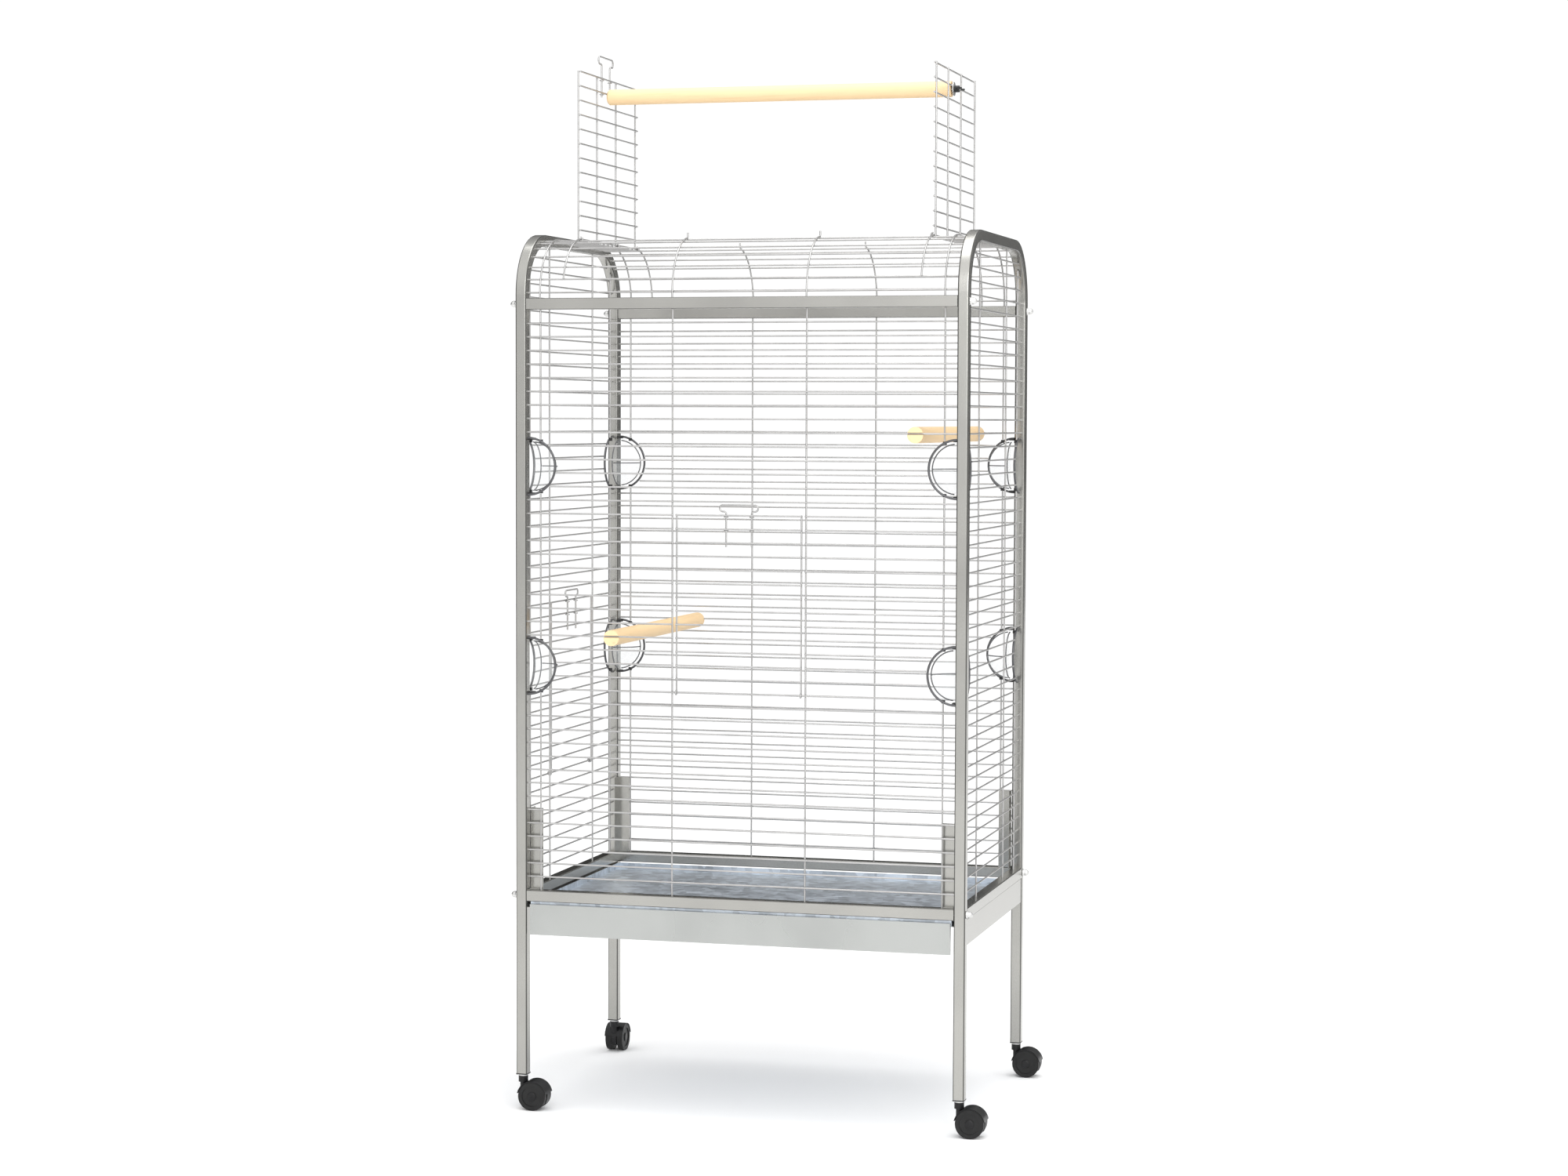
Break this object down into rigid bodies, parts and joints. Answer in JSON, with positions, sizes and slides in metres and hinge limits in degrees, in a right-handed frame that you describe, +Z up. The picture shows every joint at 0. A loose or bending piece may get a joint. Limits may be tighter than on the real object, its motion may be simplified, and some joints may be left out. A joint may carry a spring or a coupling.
{
  "type": "bird cage",
  "caption": "Tall wire bird cage on a tube stand with swivel casters, bottom-hinged doors, an opening roof with a play perch, corner feeders and a slide-out tray.",
  "frame": {"origin": "on the floor under the middle of the overall box at rest, which is 13 mm right of and 15 mm behind the middle of the tube frame", "axes": "+Z up, front with the large door and tray towards -Y, the side door on the -X side"},
  "size_m": [0.8593, 0.5807, 1.878],
  "materials": {
    "frame_paint": "satin silver-grey powder coat",
    "wire": "bright zinc plated wire",
    "ring": "dull grey plated wire",
    "black_plastic": "black moulded plastic",
    "clear_plastic": "clear moulded plastic",
    "tray_metal": "bare galvanised sheet",
    "wood": "sanded pale dowel, unvarnished",
    "bright_steel": "plated steel fastener",
    "caster_black": "black nylon",
    "wheel_black": "black nylon tread"
  },
  "bodies": {
    "frame": {"left_side_frame": "frame_paint", "right_side_frame": "frame_paint", "front_top_rail": "frame_paint", "back_top_rail": "frame_paint", "front_bottom_rail": "frame_paint", "back_bottom_rail": "frame_paint", "left_bottom_rail": "frame_paint", "right_bottom_rail": "frame_paint", "left_drawer_runner": "frame_paint", "right_drawer_runner": "frame_paint", "corner_plate_front_left": "frame_paint", "corner_plate_front_right": "frame_paint", "corner_plate_back_left": "frame_paint", "corner_plate_back_right": "frame_paint", "front_mesh": "wire", "back_mesh": "wire", "left_mesh": "wire", "right_mesh": "wire", "roof_mesh": "wire", "feeder_rings": "ring", "feeder_clips": "black_plastic", "leg_plugs": "black_plastic", "inner_perch_left": "wood", "inner_perch_right": "wood", "rail_bolts": "bright_steel", "caster_stems": "bright_steel"},
    "drawer": {"tray": "tray_metal", "drawer_front": "frame_paint"},
    "front_door": {"front_door": "wire"},
    "front_door_latch": {"front_door_latch": "wire"},
    "side_door": {"side_door": "wire"},
    "side_door_latch": {"side_door_latch": "wire"},
    "left_flap": {"left_roof_flap": "wire"},
    "right_flap": {"right_roof_flap": "wire", "top_perch": "wood", "perch_bolt": "bright_steel", "perch_washer": "bright_steel", "wing_nut": "black_plastic"},
    "roof_latch": {"roof_latch": "wire"},
    "feeder_front_left_upper": {"feeder_front_left_upper": "clear_plastic"},
    "feeder_front_left_lower": {"feeder_front_left_lower": "clear_plastic"},
    "feeder_front_right_upper": {"feeder_front_right_upper": "clear_plastic"},
    "feeder_front_right_lower": {"feeder_front_right_lower": "clear_plastic"},
    "feeder_back_left_upper": {"feeder_back_left_upper": "clear_plastic"},
    "feeder_back_left_lower": {"feeder_back_left_lower": "clear_plastic"},
    "feeder_back_right_upper": {"feeder_back_right_upper": "clear_plastic"},
    "feeder_back_right_lower": {"feeder_back_right_lower": "clear_plastic"},
    "swivel_front_left": {"caster_hood_front_left": "caster_black", "caster_axle_front_left": "bright_steel"},
    "wheels_front_left": {"caster_wheels_front_left": "wheel_black"},
    "swivel_front_right": {"caster_hood_front_right": "caster_black", "caster_axle_front_right": "bright_steel"},
    "wheels_front_right": {"caster_wheels_front_right": "wheel_black"},
    "swivel_back_left": {"caster_hood_back_left": "caster_black", "caster_axle_back_left": "bright_steel"},
    "wheels_back_left": {"caster_wheels_back_left": "wheel_black"},
    "swivel_back_right": {"caster_hood_back_right": "caster_black", "caster_axle_back_right": "bright_steel"},
    "wheels_back_right": {"caster_wheels_back_right": "wheel_black"}
  },
  "joints": [
    {"name": "drawer_slide", "type": "slide", "parent": "frame", "child": "drawer", "axis": [0, -1, 0], "range_m": [0, 0.4]},
    {"name": "front_door_hinge", "type": "hinge", "parent": "frame", "child": "front_door", "pos_m": [-0.013, -0.27405, 0.74851], "axis": [1, 0, 0], "range_deg": [0, 170]},
    {"name": "front_door_bolt", "type": "slide", "parent": "front_door", "child": "front_door_latch", "axis": [0, 0, 1], "range_m": [0, 0.014]},
    {"name": "side_door_hinge", "type": "hinge", "parent": "frame", "child": "side_door", "pos_m": [-0.40955, -0.015, 0.58214], "axis": [0, -1, 0], "range_deg": [0, 170]},
    {"name": "side_door_bolt", "type": "slide", "parent": "side_door", "child": "side_door_latch", "axis": [0, 0, 1], "range_m": [0, 0.014]},
    {"name": "left_flap_hinge", "type": "hinge", "parent": "frame", "child": "left_flap", "pos_m": [-0.333, -0.015, 1.54155], "axis": [0, -1, 0], "range_deg": [0, 75]},
    {"name": "right_flap_hinge", "type": "hinge", "parent": "frame", "child": "right_flap", "pos_m": [0.307, -0.015, 1.54155], "axis": [0, 1, 0], "range_deg": [0, 75]},
    {"name": "roof_bolt", "type": "slide", "parent": "left_flap", "child": "roof_latch", "axis": [0, 0, 1], "range_m": [-0.016, 0]},
    {"name": "feeder_front_left_upper_hinge", "type": "hinge", "parent": "frame", "child": "feeder_front_left_upper", "pos_m": [-0.394, -0.2585, 1.14], "axis": [0, 0, -1], "range_deg": [0, 90]},
    {"name": "feeder_front_left_lower_hinge", "type": "hinge", "parent": "frame", "child": "feeder_front_left_lower", "pos_m": [-0.394, -0.2585, 0.789], "axis": [0, 0, -1], "range_deg": [0, 90]},
    {"name": "feeder_front_right_upper_hinge", "type": "hinge", "parent": "frame", "child": "feeder_front_right_upper", "pos_m": [0.368, -0.2585, 1.14], "axis": [0, 0, 1], "range_deg": [0, 90]},
    {"name": "feeder_front_right_lower_hinge", "type": "hinge", "parent": "frame", "child": "feeder_front_right_lower", "pos_m": [0.368, -0.2585, 0.789], "axis": [0, 0, 1], "range_deg": [0, 90]},
    {"name": "feeder_back_left_upper_hinge", "type": "hinge", "parent": "frame", "child": "feeder_back_left_upper", "pos_m": [-0.394, 0.2285, 1.14], "axis": [0, 0, 1], "range_deg": [0, 90]},
    {"name": "feeder_back_left_lower_hinge", "type": "hinge", "parent": "frame", "child": "feeder_back_left_lower", "pos_m": [-0.394, 0.2285, 0.789], "axis": [0, 0, 1], "range_deg": [0, 90]},
    {"name": "feeder_back_right_upper_hinge", "type": "hinge", "parent": "frame", "child": "feeder_back_right_upper", "pos_m": [0.368, 0.2285, 1.14], "axis": [0, 0, -1], "range_deg": [0, 90]},
    {"name": "feeder_back_right_lower_hinge", "type": "hinge", "parent": "frame", "child": "feeder_back_right_lower", "pos_m": [0.368, 0.2285, 0.789], "axis": [0, 0, -1], "range_deg": [0, 90]},
    {"name": "swivel_front_left", "type": "hinge", "parent": "frame", "child": "swivel_front_left", "pos_m": [-0.408, -0.2725, 0.05], "axis": [0, 0, 1], "continuous": true},
    {"name": "wheel_spin_front_left", "type": "hinge", "parent": "swivel_front_left", "child": "wheels_front_left", "pos_m": [-0.387, -0.2725, 0.025], "axis": [0, 1, 0], "continuous": true},
    {"name": "swivel_front_right", "type": "hinge", "parent": "frame", "child": "swivel_front_right", "pos_m": [0.382, -0.2725, 0.05], "axis": [0, 0, 1], "continuous": true},
    {"name": "wheel_spin_front_right", "type": "hinge", "parent": "swivel_front_right", "child": "wheels_front_right", "pos_m": [0.403, -0.2725, 0.025], "axis": [0, 1, 0], "continuous": true},
    {"name": "swivel_back_left", "type": "hinge", "parent": "frame", "child": "swivel_back_left", "pos_m": [-0.408, 0.2425, 0.05], "axis": [0, 0, 1], "continuous": true},
    {"name": "wheel_spin_back_left", "type": "hinge", "parent": "swivel_back_left", "child": "wheels_back_left", "pos_m": [-0.408, 0.2635, 0.025], "axis": [1, 0, 0], "continuous": true},
    {"name": "swivel_back_right", "type": "hinge", "parent": "frame", "child": "swivel_back_right", "pos_m": [0.382, 0.2425, 0.05], "axis": [0, 0, 1], "continuous": true},
    {"name": "wheel_spin_back_right", "type": "hinge", "parent": "swivel_back_right", "child": "wheels_back_right", "pos_m": [0.403, 0.2425, 0.025], "axis": [0, 1, 0], "continuous": true}
  ]
}
